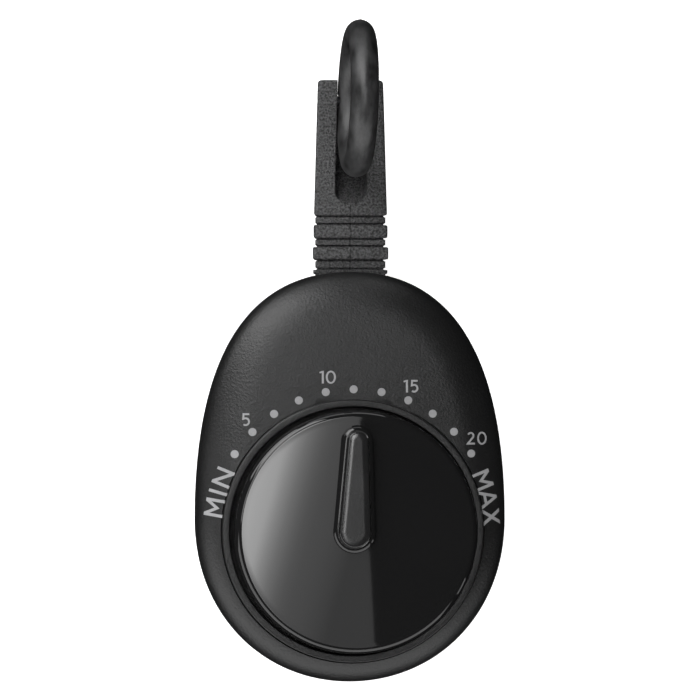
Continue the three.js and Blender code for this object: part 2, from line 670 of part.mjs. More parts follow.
// The ring leans a little to the right in its slot.
const ringMount = new THREE.Group();
ringMount.position.set((PIN_Y - RING_LEAN_Y) * Math.tan(RING_LEAN), PIN_Y, PIN_Z);
ringMount.rotation.z = -RING_LEAN;
add(ringMount, 'hanging_ring', 'satin', hangingRing());
timer.add(ringMount);

const movement = new THREE.Group();
add(movement, 'back_plate', 'brass', plate(BACK_PLATE_Z));
add(movement, 'front_plate', 'brass', plate(FRONT_PLATE_Z));
PILLARS.forEach((at, i) => {
  add(movement, `pillar_${i + 1}`, 'steel', pillar(), at);
  add(movement, `movement_screw_${i + 1}`, 'steel', screw(MOVEMENT_SCREW), at);
});

const toSecond = bearing(MAIN_AT, SECOND_AT);
const toThird = bearing(SECOND_AT, THIRD_AT);
const toEscape = bearing(THIRD_AT, ESCAPE_AT);

// A pinion turned so that a gap between two teeth meets the wheel before it.
const facing = (drive, direction) => (
  pinion(drive, direction + Math.PI - Math.PI / drive.teeth)
);

add(movement, 'main_arbor', 'steel', mainArbor());
add(movement, 'shaft_bush', 'brass', shaftBush());
add(movement, 'mainspring', 'spring', mainspring());
add(movement, 'great_wheel', 'brass', wheel(GREAT_WHEEL, toSecond, MAIN_ARBOR_R + GAP, 5));
add(movement, 'alarm_cam', 'steel', alarmCam());
add(movement, 'second_pinion', 'steel', facing(SECOND_PINION, toSecond), SECOND_AT);
add(movement, 'second_wheel', 'brass', wheel(SECOND_WHEEL, toThird, ARBOR_R + GAP), SECOND_AT);
add(movement, 'third_pinion', 'steel', facing(THIRD_PINION, toThird), THIRD_AT);
add(movement, 'third_wheel', 'brass', wheel(THIRD_WHEEL, toEscape, ARBOR_R + GAP), THIRD_AT);
add(movement, 'escape_pinion', 'steel', facing(ESCAPE_PINION, toEscape), ESCAPE_AT);
add(movement, 'escape_wheel', 'brass', escapeWheel(), ESCAPE_AT);
add(movement, 'balance_staff', 'steel', rod(ARBOR_R, ARBOR_Z, [0, 0], 12), BALANCE_AT);
add(movement, 'pallet_anchor', 'steel', palletAnchor(), BALANCE_AT);
add(movement, 'balance_wheel', 'brass', balanceWheel(), BALANCE_AT);

const tripAngle = bearing(MAIN_AT, HAMMER_AT);
const tripAt = TRIP_TIP_R + TRIP_END_R;
const tripTip = [tripAt * Math.cos(tripAngle), tripAt * Math.sin(tripAngle)];
add(movement, 'hammer_arbor', 'steel', hammerArbor(), HAMMER_AT);
add(movement, 'trip_lever', 'steel', lever(tripTip, TRIP_END_R, TRIP_Z), HAMMER_AT);
add(movement, 'hammer_spring', 'spring', hammerSpring(), HAMMER_AT);
add(movement, 'bell_hammer', 'brass', lever(hammerTarget(), HAMMER_HEAD_R, HAMMER_Z), HAMMER_AT);
add(movement, 'bell', 'brass', bell());
add(movement, 'bell_post', 'steel', bellPost());
add(movement, 'bell_screw', 'steel', screw(BELL_SCREW));
timer.add(movement);

export default timer;
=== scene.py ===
"""A wind-up kitchen timer with a ribbed hanger arm and a hanging ring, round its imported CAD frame.

Shapes are modelled in millimetres and scaled to metres when they join the frame.
"""

import math

import bmesh
import bpy
import numpy as np
from mathutils import Matrix, Vector


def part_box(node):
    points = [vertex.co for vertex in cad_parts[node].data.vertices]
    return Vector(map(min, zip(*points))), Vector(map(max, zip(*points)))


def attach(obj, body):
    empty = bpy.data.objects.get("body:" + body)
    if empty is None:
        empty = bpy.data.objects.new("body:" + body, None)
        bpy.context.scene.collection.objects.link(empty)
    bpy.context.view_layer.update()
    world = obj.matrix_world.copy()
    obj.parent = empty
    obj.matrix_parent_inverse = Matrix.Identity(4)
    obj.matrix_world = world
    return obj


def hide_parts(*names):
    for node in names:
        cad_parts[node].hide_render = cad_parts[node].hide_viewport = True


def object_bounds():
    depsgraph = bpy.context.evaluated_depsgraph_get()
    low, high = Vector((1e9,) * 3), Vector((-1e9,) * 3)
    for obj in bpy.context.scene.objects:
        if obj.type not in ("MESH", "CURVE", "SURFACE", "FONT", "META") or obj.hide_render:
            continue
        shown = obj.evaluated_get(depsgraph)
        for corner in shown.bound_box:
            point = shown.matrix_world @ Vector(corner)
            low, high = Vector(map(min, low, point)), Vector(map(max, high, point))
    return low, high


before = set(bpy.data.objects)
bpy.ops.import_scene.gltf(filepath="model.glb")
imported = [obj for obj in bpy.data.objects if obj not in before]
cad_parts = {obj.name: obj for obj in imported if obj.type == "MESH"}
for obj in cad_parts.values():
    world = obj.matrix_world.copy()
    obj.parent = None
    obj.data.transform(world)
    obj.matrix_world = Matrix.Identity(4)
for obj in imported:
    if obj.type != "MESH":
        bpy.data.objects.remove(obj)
cad_low, cad_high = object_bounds()

MM = 0.001
TAU = 2 * math.pi


def box_mm(node):
    """Lowest and highest corner of a CAD node, in millimetres."""
    low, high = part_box(node)
    return low / MM, high / MM


def middle_mm(node):
    low, high = box_mm(node)
    return (low + high) / 2


# ---- Sizes read from the frame ----

SHELL_LOW, SHELL_HIGH = box_mm("front_housing")
KNOB_LOW, KNOB_HIGH = box_mm("dial_knob")
INLAY_LOW, INLAY_HIGH = box_mm("grip_inlay")
ARM_LOW, ARM_HIGH = box_mm("hanger_arm")
RING_LOW, RING_HIGH = box_mm("hanging_ring")
PIN_LOW, PIN_HIGH = box_mm("ring_pin")
PIN = middle_mm("ring_pin")

WIDEST_X = SHELL_HIGH.x
TOP_Y = SHELL_HIGH.y
BOTTOM_Y = SHELL_LOW.y
FACE_Z = SHELL_HIGH.z
SHELL_LOW_Z = SHELL_LOW.z
SPLIT_Z = box_mm("rear_cover")[1].z

# ---- Sizes that the boxes don't hold: the CAD's, and finer ones that only show here ----

GAP = 0.3
WALL = 2.0
WIDEST_Y = 2.2
EGG_HANDLES = (17.4, -17.0, 24.6, 26.1)     # low x, low y, high y, high x
SHOULDER_RISE = 6.0
SHOULDER_SHARE = 0.7                        # the rest is a long crown
SHOULDER_INSET = 9.0
CROWN_INSET = 26.0
WIDEST_Z = FACE_Z - SHOULDER_RISE
BACK_INSET = 4.5                            # long round of the sides towards the back
WELL_R = 24.7
COLLAR_R = 26.15
CREASE_DEPTH = 0.35                         # of the fine groove round the collar's foot
WELL_FLOOR_Z = 20.6
WELL_MIDDLE_R = 15
SHAFT_HOLE_R = 3.4
SHELL_SIDES = 288
RAYS = np.arange(SHELL_SIDES) * TAU / SHELL_SIDES

KNOB_R = KNOB_HIGH.x
KNOB_EDGE_Z = 29.0
KNOB_TOP_Z = 29.7
KNOB_WALL = 1.8
KNOB_FILLET = 1.3
HUB_R = 4.0
SHAFT_R = 2.3
FLAT_X = 1.7
SHAFT_TOP_Z = 26.5
GRIP_TOP_Z = KNOB_HIGH.z
GRIP = {"tip_y": 17.95, "tip_r": 2.95, "root_y": 0.1, "root_r": 4.1}
GRIP_TURN = math.radians(-1.8)              # the pointer isn't quite square to the dial
INLAY = {
    "tip_y": 17.95, "tip_r": INLAY_HIGH.y - 17.95,
    "root_y": 0.15, "root_r": 0.15 - INLAY_LOW.y,
}

ARM_TOP_X = 6.6
ARM_LOW_Y = 62.9
ARM_LOW_X = 7.35
ARM_DRAFT = math.tan(math.radians(7))       # sides lean in behind the widest plane
ARM_WIDEST_Z = 16.5
NECK_X = 7.08
ARM_Z = (7.2, 17.4)
NECK_Z = (8.1, 17.0)
RIB_Z = (7.1, 17.5)
RIBS = ((54.1, 56.6, 7.6), (58.4, 61.0, 7.45))
ROOT_RIB = (51.3, 52.0, 7.5)                # only its edge shows above the housing
GROOVE = (NECK_X - 0.3, (NECK_Z[0] + 0.45, NECK_Z[1] - 0.45))           # beside each rib
ARM_ROUND = 0.7                             # corner radius of the arm's section
RIB_EDGE = 0.35
BLADE_LOW_EDGE = 0.4
BLADE_TOP_EDGE = 0.8
MOULD_LINE_X = (0.09, 0.22)                 # half widths of its bottom and of its mouth
MOULD_LINE_DEPTH = 0.2
FLANGE_Y = (ARM_LOW.y, 47.2)
FLANGE_X = ARM_HIGH.x
FLANGE_Z = (9.6, ARM_HIGH.z)
SLOT_X = 3.3
SLOT_LEFT_X = -3.15                         # the left wall's x where the round end starts
SLOT_LOW_Y = 65.1
SLOT_END_Y = 120                            # well past the arm's end
RING_TUBE_R = 2.77
RING_R = (RING_HIGH.y - RING_LOW.y) / 2 - RING_TUBE_R
RING_LEAN = math.radians(1.4)
RING_LEAN_Y = 76.0
RING_STOPS = (math.radians(-34), math.radians(89))      # the slot is cut for this swing

COVER_SCREWS = [middle_mm(f"cover_screw_{i}") for i in (1, 2, 3, 4)]
PILLARS = [middle_mm(f"pillar_{i}") for i in (1, 2, 3)]
BOSS_R = 2.6
SCREW_HOLE_R = 1.3
HEAD_HOLE_R = 2.2
HEAD_SEAT_Z = 2.4
BOSS_TOP_Z = 16.3                           # bosses for the cover's screws
BOSS_HOLE_Z = 15.3
PAD_R = 2.2                                 # pads for the movement's screws
PAD_HOLE_Z = 20.0
HIGH_PAD_TOP_Z = 21.6                       # the third one stands outside the well
SADDLE = ((-12, 12), (42.4, FLANGE_Y[0] - GAP), (SHELL_LOW_Z, 21.0))    # backs the arm's flange
BELL_SLOTS = ((6, 9), (9.5, 7), (13, 5))    # x and half length
BELL_SLOT_R = 0.8


# ---- Meshes ----

def new_object(name, points, faces):
    mesh = bpy.data.meshes.new(name)
    mesh.from_pydata([tuple(map(float, p)) for p in points], [], faces)
    mesh.validate()
    obj = bpy.data.objects.new(name, mesh)
    bpy.context.scene.collection.objects.link(obj)
    outward(obj)
    return obj


def outward(obj):
    shape = bmesh.new()
    shape.from_mesh(obj.data)
    bmesh.ops.recalc_face_normals(shape, faces=shape.faces)
    shape.to_mesh(obj.data)
    shape.free()


def loft(name, rings, loop=False):
    """A skin over closed rings of equally many points, capped or with its ends joined in a loop."""
    count = len(rings[0])
    points = [p for ring in rings for p in ring]
    faces = []
    spans = len(rings) if loop else len(rings) - 1
    for i in range(spans):
        here, there = i * count, ((i + 1) % len(rings)) * count
        for j in range(count):
            k = (j + 1) % count
            faces.append((here + j, here + k, there + k, there + j))
    if not loop:
        faces.append(tuple(range(count)))
        faces.append(tuple(range(len(points) - count, len(points))))
    return new_object(name, points, faces)


def ring_xy(points, z):
    return [(x, y, z) for x, y in points]


def circle(radius, sides, centre=(0, 0)):
    steps = [TAU * i / sides for i in range(sides)]
    return [(centre[0] + radius * math.cos(a), centre[1] + radius * math.sin(a)) for a in steps]


def rod(radius, z, centre=(0, 0), sides=32):
    outline = circle(radius, sides, centre)
    return loft("rod", [ring_xy(outline, z[0]), ring_xy(outline, z[1])])


def box(x, y, z):
    outline = [(x[0], y[0]), (x[1], y[0]), (x[1], y[1]), (x[0], y[1])]
    return loft("box", [ring_xy(outline, z[0]), ring_xy(outline, z[1])])


def turned(name, profile, sides):
    """A closed profile of (radius, z) turned about Z; a radius of 0 is kept just off the axis."""
    rings = [ring_xy(circle(max(radius, 1e-3), sides), z) for radius, z in profile]
    return loft(name, rings)


def turned_about_x(name, profile, sides, centre):
    """A closed profile of (x, radius) turned about an axis along X through centre (y, z)."""
    rings = []
    for x, radius in profile:
        around = circle(max(radius, 1e-3), sides)
        rings.append([(x, centre[0] + v, centre[1] + w) for v, w in around])
    return loft(name, rings)


def arc(centre, radius, start, end, steps):
    """Points on an arc, with angles in degrees."""
    points = []
    for i in range(steps + 1):
        a = math.radians(start + (end - start) * i / steps)
        points.append((centre[0] + radius * math.cos(a), centre[1] + radius * math.sin(a)))
    return points


def joined(objects):
    """One object with the meshes of several that don't touch."""
    shape = bmesh.new()
    for obj in objects:
        shape.from_mesh(obj.data)
    shape.to_mesh(objects[0].data)
    shape.free()
    for obj in objects[1:]:
        bpy.data.objects.remove(obj)
    return objects[0]


def combine(target, tool, operation):
    modifier = target.modifiers.new("combine", "BOOLEAN")
    modifier.operation = operation
    modifier.solver = "EXACT"
    modifier.object = tool
    graph = bpy.context.evaluated_depsgraph_get()
    result = bpy.data.meshes.new_from_object(target.evaluated_get(graph))
    target.modifiers.clear()
    target.data = result
    bpy.data.objects.remove(tool)
    shape = bmesh.new()
    shape.from_mesh(target.data)
    bmesh.ops.remove_doubles(shape, verts=shape.verts, dist=1e-4)
    bmesh.ops.dissolve_degenerate(shape, edges=shape.edges, dist=1e-4)
    shape.to_mesh(target.data)
    shape.free()
    return target


def piece(obj, name, material, body, replaces=(), sharp=32):
    obj.name = name
    obj.data.name = name
    obj.data.transform(Matrix.Scale(MM, 4))
    obj.data.shade_smooth()
    obj.data.set_sharp_from_angle(angle=math.radians(sharp))
    obj.data.materials.clear()
    obj.data.materials.append(material)
    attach(obj, body)
    if replaces:
        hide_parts(*replaces)
    return obj


# ---- Materials ----

class Shader:
    """A Principled material, with helpers that feed its sockets from procedural textures."""

    def __init__(self, name, colour, roughness, metallic=0.0):
        self.material = bpy.data.materials.new(name)
        self.material.use_nodes = True
        self.tree = self.material.node_tree
        self.principled = self.tree.nodes["Principled BSDF"]
        self.set("Base Color", (*colour, 1))
        self.set("Roughness", roughness)
        self.set("Metallic", metallic)
        self.place = self.node("ShaderNodeTexCoord").outputs["Object"]
        self.normal = None

    def set(self, socket, value):
        self.principled.inputs[socket].default_value = value

    def node(self, kind, **values):
        made = self.tree.nodes.new(kind)
        for name, value in values.items():
            setattr(made, name, value)
        return made

    def link(self, source, target):
        self.tree.links.new(source, target)

    def noise(self, scale, detail=2.0, roughness=0.5, stretch=(1, 1, 1)):
        """Noise whose grain is about 1/scale metres."""
        mapping = self.node("ShaderNodeMapping")
        mapping.inputs["Scale"].default_value = stretch
        self.link(self.place, mapping.inputs["Vector"])
        texture = self.node("ShaderNodeTexNoise")
        texture.inputs["Scale"].default_value = scale
        texture.inputs["Detail"].default_value = detail
        texture.inputs["Roughness"].default_value = roughness
        self.link(mapping.outputs["Vector"], texture.inputs["Vector"])
        return texture.outputs["Fac"]

    def scaled(self, value, from_range, to_range):
        ramp = self.node("ShaderNodeMapRange")
        ramp.inputs["From Min"].default_value = from_range[0]
        ramp.inputs["From Max"].default_value = from_range[1]
        ramp.inputs["To Min"].default_value = to_range[0]
        ramp.inputs["To Max"].default_value = to_range[1]
        self.link(value, ramp.inputs["Value"])
        return ramp.outputs["Result"]

    def blend_colour(self, factor, dark, light):
        mix = self.node("ShaderNodeMix", data_type="RGBA")
        colour_a = [s for s in mix.inputs if s.name == "A" and s.type == "RGBA"][0]
        colour_b = [s for s in mix.inputs if s.name == "B" and s.type == "RGBA"][0]
        colour_a.default_value = (*dark, 1)
        colour_b.default_value = (*light, 1)
        self.link(factor, mix.inputs["Factor"])
        result = [s for s in mix.outputs if s.type == "RGBA"][0]
        self.link(result, self.principled.inputs["Base Color"])

    def vary_roughness(self, value, low, high):
        self.link(self.scaled(value, (0.3, 0.7), (low, high)), self.principled.inputs["Roughness"])

    def bump(self, height, depth_mm):
        """Adds relief of that depth on top of any relief already there."""
        bump = self.node("ShaderNodeBump")
        bump.inputs["Strength"].default_value = 1.0
        bump.inputs["Distance"].default_value = depth_mm * MM
        self.link(height, bump.inputs["Height"])
        if self.normal:
            self.link(self.normal, bump.inputs["Normal"])
        self.normal = bump.outputs["Normal"]
        self.link(self.normal, self.principled.inputs["Normal"])


def grey(value):
    return (value, value, value * 1.02)


def shell_plastic():
    """Moulded black plastic with a fine spark-eroded texture."""
    shader = Shader("shell_plastic", grey(0.009), 0.37)
    grain = shader.noise(2100, detail=3, roughness=0.6)
    clouds = shader.noise(60, detail=3)
    shader.blend_colour(clouds, grey(0.0075), grey(0.0105))
    shader.vary_roughness(clouds, 0.34, 0.4)
    shader.bump(grain, 0.09)
    return shader.material


def arm_plastic():
    """The same plastic with a coarser, drier texture."""
    shader = Shader("arm_plastic", grey(0.03), 0.6)
    grain = shader.noise(2300, detail=3, roughness=0.6)
    clouds = shader.noise(90, detail=4)
    shader.blend_colour(shader.scaled(grain, (0.38, 0.62), (0, 1)), grey(0.004), grey(0.085))
    shader.vary_roughness(clouds, 0.5, 0.62)
    shader.bump(grain, 0.35)
    return shader.material


def gloss_plastic():
    shader = Shader("gloss_plastic", grey(0.009), 0.03)
    waves = shader.noise(45, detail=1)
    dust = shader.noise(5200, detail=2)
    shader.blend_colour(waves, grey(0.0085), grey(0.0105))
    shader.vary_roughness(dust, 0.02, 0.04)
    shader.bump(waves, 0.002)
    return shader.material


def inlay_plastic():
    shader = Shader("inlay_plastic", grey(0.012), 0.14)
    fine = shader.noise(4200, detail=2)
    clouds = shader.noise(150, detail=3)
    shader.blend_colour(clouds, grey(0.011), grey(0.016))
    shader.vary_roughness(clouds, 0.12, 0.17)
    shader.bump(fine, 0.004)
    return shader.material


def ring_plastic():
    """Satin black, a little scuffed from handling."""
    shader = Shader("ring_plastic", grey(0.018), 0.36)
    scuffs = shader.noise(420, detail=6, roughness=0.7, stretch=(1, 0.5, 0.5))
    fine = shader.noise(3000, detail=2)
    shader.blend_colour(shader.scaled(scuffs, (0.35, 0.65), (0, 1)), grey(0.008), grey(0.045))
    shader.vary_roughness(scuffs, 0.3, 0.5)
    shader.bump(fine, 0.008)
    shader.bump(scuffs, 0.02)
    return shader.material


def print_ink():
    shader = Shader("print_ink", grey(0.34), 0.5)
    mottle = shader.noise(2500, detail=2)
    shader.blend_colour(mottle, grey(0.29), grey(0.38))
    shader.bump(mottle, 0.01)
    return shader.material


def metal(name, dark, light, rough, brushing=(1, 1, 1), scale=900):
    shader = Shader(name, light, rough, metallic=1.0)
    lines = shader.noise(scale, detail=4, roughness=0.6, stretch=brushing)
    tarnish = shader.noise(140, detail=4)
    shader.blend_colour(tarnish, dark, light)
    shader.vary_roughness(lines, rough * 0.75, rough * 1.3)
    shader.bump(lines, 0.01)
    return shader.material


SHELL = shell_plastic()
ARM = arm_plastic()
GLOSS = gloss_plastic()
SATIN = inlay_plastic()
RING = ring_plastic()
INK = print_ink()
BRASS = metal("brass", (0.52, 0.36, 0.13), (0.72, 0.53, 0.22), 0.28, (6, 1, 1))
STEEL = metal("steel", (0.42, 0.42, 0.44), (0.6, 0.6, 0.62), 0.3, (1, 8, 1))
BLACK_STEEL = metal("blackened_steel", (0.02, 0.02, 0.022), (0.05, 0.05, 0.053), 0.35, (8, 1, 1))
SPRING = metal("spring_steel", (0.12, 0.14, 0.2), (0.25, 0.27, 0.32), 0.33, (1, 1, 5))
BELL = metal("bell_metal", (0.45, 0.46, 0.48), (0.66, 0.67, 0.69), 0.2, (1, 1, 6))


# ---- Housing outline and front surface ----

def egg(samples=300):
    """The body's outline as an anticlockwise polyline that starts at its lowest point."""
    low_x, low_y, high_y, high_x = EGG_HANDLES
    right = (
        ((0, BOTTOM_Y), (low_x, BOTTOM_Y), (WIDEST_X, low_y), (WIDEST_X, WIDEST_Y)),
        ((WIDEST_X, WIDEST_Y), (WIDEST_X, high_y), (high_x, TOP_Y), (0, TOP_Y)),
    )
    t = np.linspace(0, 1, samples, endpoint=False)[:, None]
    u = 1 - t
    half = []
    for a, b, c, d in np.array(right, float):
        half.append(u**3 * a + 3 * u**2 * t * b + 3 * u * t * t * c + t**3 * d)
    half = np.vstack(half)
    left = half[1:][::-1] * (-1, 1)
    return np.vstack([half, [(0, TOP_Y)], left])


OUTLINE = egg()


def moved_in(outline, distance):
    """The outline moved inwards along its normals."""
    along = np.roll(outline, -1, axis=0) - np.roll(outline, 1, axis=0)
    along /= np.linalg.norm(along, axis=1)[:, None]
    inwards = np.stack([-along[:, 1], along[:, 0]], axis=1)
    return outline + inwards * distance


def polar(outline, angles):
    """How far the outline is from the knob's axis in each direction."""
    around = np.arctan2(outline[:, 1], outline[:, 0])
    order = np.argsort(around)
    reach = np.hypot(outline[:, 0], outline[:, 1])
    return np.interp(angles, around[order], reach[order], period=TAU)


def depth_in(outline, points):
    """How far points are inside the outline, measured to its nearest segment."""
    start = outline
    along = np.roll(outline, -1, axis=0) - start
    length = (along**2).sum(axis=1)
    nearest = np.full(len(points), 1e9)
    for first in range(0, len(points), 2000):
        part = points[first:first + 2000]
        offset = part[:, None, :] - start[None]
        t = np.clip((offset * along).sum(axis=2) / length, 0, 1)
        gap = offset - t[..., None] * along
        nearest[first:first + 2000] = np.sqrt((gap**2).sum(axis=2).min(axis=1))
    return nearest


def rolled(depth):
    """Height of the rolled edge that far in from the outline."""
    edge = np.sqrt(1 - (1 - np.clip(depth / SHOULDER_INSET, 0, 1)) ** 2)
    crown = np.sqrt(1 - (1 - np.clip(depth / CROWN_INSET, 0, 1)) ** 2)
    return SHOULDER_RISE * (SHOULDER_SHARE * edge + (1 - SHOULDER_SHARE) * crown)


def face_height(points):
    """Z of the housing's front surface at points in X and Y."""
    return FACE_Z - SHOULDER_RISE + rolled(depth_in(OUTLINE, np.asarray(points, float)))


def on_rays(radii):
    return np.stack([radii * np.cos(RAYS), radii * np.sin(RAYS)], axis=1)


def ring_at(radii, heights):
    flat = on_rays(np.broadcast_to(radii, RAYS.shape))
    return np.column_stack([flat, np.broadcast_to(heights, RAYS.shape)])


def side_ring(z, more=0.0, wall=0.0):
    """The sides' outline at that height, `more` further in, or the inside of a wall."""
    part = min(max((WIDEST_Z + wall - z) / WIDEST_Z, 0), 1)
    inset = BACK_INSET * (1 - math.sqrt(1 - part**2))
    return ring_at(polar(moved_in(moved_in(OUTLINE, wall), inset + more), RAYS), z)


def neck_hole():
    """What the arm's neck passes through in both halves of the housing."""
    x = NECK_X + GAP
    return box((-x, x), (FLANGE_Y[0], TOP_Y + 5), (NECK_Z[0] - GAP, NECK_Z[1] + GAP))


def front_housing():
    outer = polar(OUTLINE, RAYS)
    inner_line = moved_in(OUTLINE, WALL)
    inner = polar(inner_line, RAYS)
    foot_r = COLLAR_R + 0.26
    rings = [side_ring(SHELL_LOW_Z, 0.25), side_ring(SHELL_LOW_Z + 0.07, 0.07)]
    for share in (0.035, 0.2, 0.4, 0.6, 0.8):
        rings.append(side_ring(SHELL_LOW_Z + (WIDEST_Z - SHELL_LOW_Z) * share))
    steps = 44
    for i in range(steps + 1):
        share = 1 - math.cos(math.pi / 2 * i / steps)
        radii = outer + (foot_r - outer) * share
        rings.append(ring_at(radii, face_height(on_rays(radii))))
    foot_z = rings[-1][:, 2]
    proud = FACE_Z - foot_z
    crease = CREASE_DEPTH * np.clip(proud / CREASE_DEPTH, 0, 1)
    rings += [
        ring_at(foot_r - 0.05, foot_z - crease * 0.8),
        ring_at(COLLAR_R + 0.12, foot_z - crease),
        ring_at(COLLAR_R + 0.03, foot_z - crease * 0.8),
        ring_at(COLLAR_R, np.minimum(foot_z + 0.01, FACE_Z - 0.3)),
    ]
    rim = arc((COLLAR_R - 0.3, FACE_Z - 0.3), 0.3, 15, 90, 4)
    rim += arc((WELL_R + 0.25, FACE_Z - 0.25), 0.25, 90, 180, 4)
    rings += [ring_at(radius, z) for radius, z in rim]
    under_z = WELL_FLOOR_Z - WALL
    rings += [
        ring_at(WELL_R, WELL_FLOOR_Z + 0.4),
        ring_at(WELL_R - 0.12, WELL_FLOOR_Z + 0.12),
        ring_at(WELL_R - 0.4, WELL_FLOOR_Z),
        ring_at(WELL_MIDDLE_R, WELL_FLOOR_Z),
        ring_at(SHAFT_HOLE_R, WELL_FLOOR_Z),
        ring_at(SHAFT_HOLE_R, under_z),
        ring_at(WELL_MIDDLE_R, under_z),
        ring_at(COLLAR_R, under_z),
    ]
    inner_steps = 16
    for i in range(inner_steps + 1):
        share = math.cos(math.pi / 2 * i / inner_steps)
        radii = inner + (COLLAR_R - inner) * share
        depth = depth_in(inner_line, on_rays(radii))
        if i == inner_steps:
            depth = depth * 0
        heights = WIDEST_Z - WALL + rolled(depth)
        rings.append(ring_at(radii, np.maximum(heights, under_z + 0.05) if i < 2 else heights))
    rings += [side_ring(z, wall=WALL) for z in (WIDEST_Z - 3, WIDEST_Z - 5, SHELL_LOW_Z)]
    shell = loft("shell", rings, loop=True)

    boss_top = WELL_FLOOR_Z - WALL / 2
    bosses = [rod(BOSS_R, (SHELL_LOW_Z, BOSS_TOP_Z), (s.x, s.y)) for s in COVER_SCREWS]
    plate_top = box_mm("front_plate")[1].z + GAP
    pads = []
    for p, top in zip(PILLARS, (boss_top, boss_top, HIGH_PAD_TOP_Z)):
        pads.append(rod(PAD_R, (plate_top, top), (p.x, p.y)))
    shell = combine(shell, joined([*bosses, *pads, box(*SADDLE)]), "UNION")

    shell = combine(shell, neck_hole(), "DIFFERENCE")
    flange = box(
        (-FLANGE_X - GAP, FLANGE_X + GAP),
        (FLANGE_Y[0] - GAP, FLANGE_Y[1] + GAP),
        (0, FLANGE_Z[1] + GAP),
    )
    shell = combine(shell, flange, "DIFFERENCE")
    holes = [rod(SCREW_HOLE_R, (0, BOSS_HOLE_Z), (s.x, s.y), 24) for s in COVER_SCREWS]
    holes += [rod(SCREW_HOLE_R, (0, PAD_HOLE_Z), (p.x, p.y), 24) for p in PILLARS]
    shell = combine(shell, joined(holes), "DIFFERENCE")
    return piece(shell, "housing_front_shell", SHELL, "housing", ["front_housing"])


def rear_cover():
    rings = [side_ring(SPLIT_Z, 0.25), side_ring(SPLIT_Z - 0.07, 0.07)]
    steps = 24
    for i in range(steps + 1):
        lean = math.acos((WIDEST_Z - SPLIT_Z + 0.25) / WIDEST_Z) * (1 - i / steps)
        rings.append(side_ring(WIDEST_Z * (1 - math.cos(lean))))
    full = polar(moved_in(OUTLINE, BACK_INSET), RAYS)
    rings += [ring_at(full * share, 0) for share in (0.75, 0.4)]
    rings += [ring_at(1.0, 0), ring_at(1.0, WALL)]
    full_in = polar(moved_in(OUTLINE, WALL + BACK_INSET), RAYS)
    rings += [ring_at(full_in * share, WALL) for share in (0.4, 0.75)]
    inner_steps = 8
    for i in range(inner_steps + 1):
        lean = math.acos((WIDEST_Z + WALL - SPLIT_Z) / WIDEST_Z) * i / inner_steps
        rings.append(side_ring(WALL + WIDEST_Z * (1 - math.cos(lean)), wall=WALL))
    cover = loft("cover", rings, loop=True)
    plug = rod(1.5, (0, WALL), sides=SHELL_SIDES // 4)
    cover = combine(cover, plug, "UNION")
    bosses = [rod(BOSS_R, (WALL / 2, SPLIT_Z), (s.x, s.y)) for s in COVER_SCREWS]
    cover = combine(cover, joined(bosses), "UNION")
    cutters = [rod(SCREW_HOLE_R, (-1, SPLIT_Z + 1), (s.x, s.y), 24) for s in COVER_SCREWS]
    cover = combine(cover, joined(cutters), "DIFFERENCE")
    heads = [rod(HEAD_HOLE_R, (-1, HEAD_SEAT_Z), (s.x, s.y), 40) for s in COVER_SCREWS]
    cover = combine(cover, joined(heads), "DIFFERENCE")
    slots = []
    for side in (-1, 1):
        for x, reach in BELL_SLOTS:
            top = arc((side * x, reach - BELL_SLOT_R), BELL_SLOT_R, 0, 180, 8)
            low = arc((side * x, BELL_SLOT_R - reach), BELL_SLOT_R, 180, 360, 8)
            slots.append(loft("slot", [ring_xy(top + low, -1), ring_xy(top + low, WALL + 1)]))
    cover = combine(cover, joined(slots), "DIFFERENCE")
    cover = combine(cover, neck_hole(), "DIFFERENCE")
    return piece(cover, "housing_rear_shell", SHELL, "housing", ["rear_cover"])


def cover_screw(index):
    """A pan-head screw with a cross recess, its head towards -Z."""
    low, high = box_mm(f"cover_screw_{index}")
    at = (low + high) / 2
    head_r = (high.x - low.x) / 2
    seat, thread_r, core_r, pitch = 2.1, 1.0, 0.78, 0.7
    profile = [(0, low.z), (head_r * 0.55, low.z + 0.04), (head_r * 0.85, low.z + 0.22)]
    profile += [(head_r, low.z + 0.6), (head_r, seat), (thread_r, seat)]
    thread_z = seat + 0.8
    while thread_z < high.z - 0.9:
        profile += [(core_r, thread_z), (thread_r, thread_z + pitch / 2)]
        thread_z += pitch
    profile += [(core_r, high.z - pitch), (0.3, high.z), (0, high.z)]
    screw = turned("screw", profile, 40)
    arms = []
    for x, y in ((1.05, 0.17), (0.17, 1.05)):
        low_ring = ring_xy([(x, y), (-x, y), (-x, -y), (x, -y)], low.z - 0.2)
        deep = [(px * 0.6, py * 0.8, low.z + 0.8) for px, py, _ in low_ring]
        arms.append(loft("recess", [low_ring, deep]))
    for arm in arms:
        screw = combine(screw, arm, "DIFFERENCE")
    screw.data.transform(Matrix.Translation((at.x, at.y, 0)))
    name = f"cover_screw_head_{index}"
    return piece(screw, name, STEEL, "housing", [f"cover_screw_{index}"], sharp=25)


# ---- Knob ----

def teardrop(size, grow=0.0, steps=28):
    """Two circles joined by their outer tangents, turned a little about the tip's centre."""
    length = size["tip_y"] - size["root_y"]
    lean = math.degrees(math.asin((size["root_r"] - size["tip_r"]) / length))
    tip = arc((0, size["tip_y"]), size["tip_r"] + grow, lean, 180 - lean, steps)
    root = arc((0, size["root_y"]), size["root_r"] + grow, 180 - lean, 360 + lean, steps + 12)
    sides = []
    for a, b in ((tip, root), (root, tip)):
        first, last = np.array(a[-1]), np.array(b[0])
        sides.append([tuple(first + (last - first) * k / 8) for k in range(1, 8)])
    c, s = math.cos(GRIP_TURN), math.sin(GRIP_TURN)
    outline = []
    for x, y in tip + sides[0] + root + sides[1]:
        y -= size["tip_y"]
        outline.append((x * c - y * s, x * s + y * c + size["tip_y"]))
    return outline


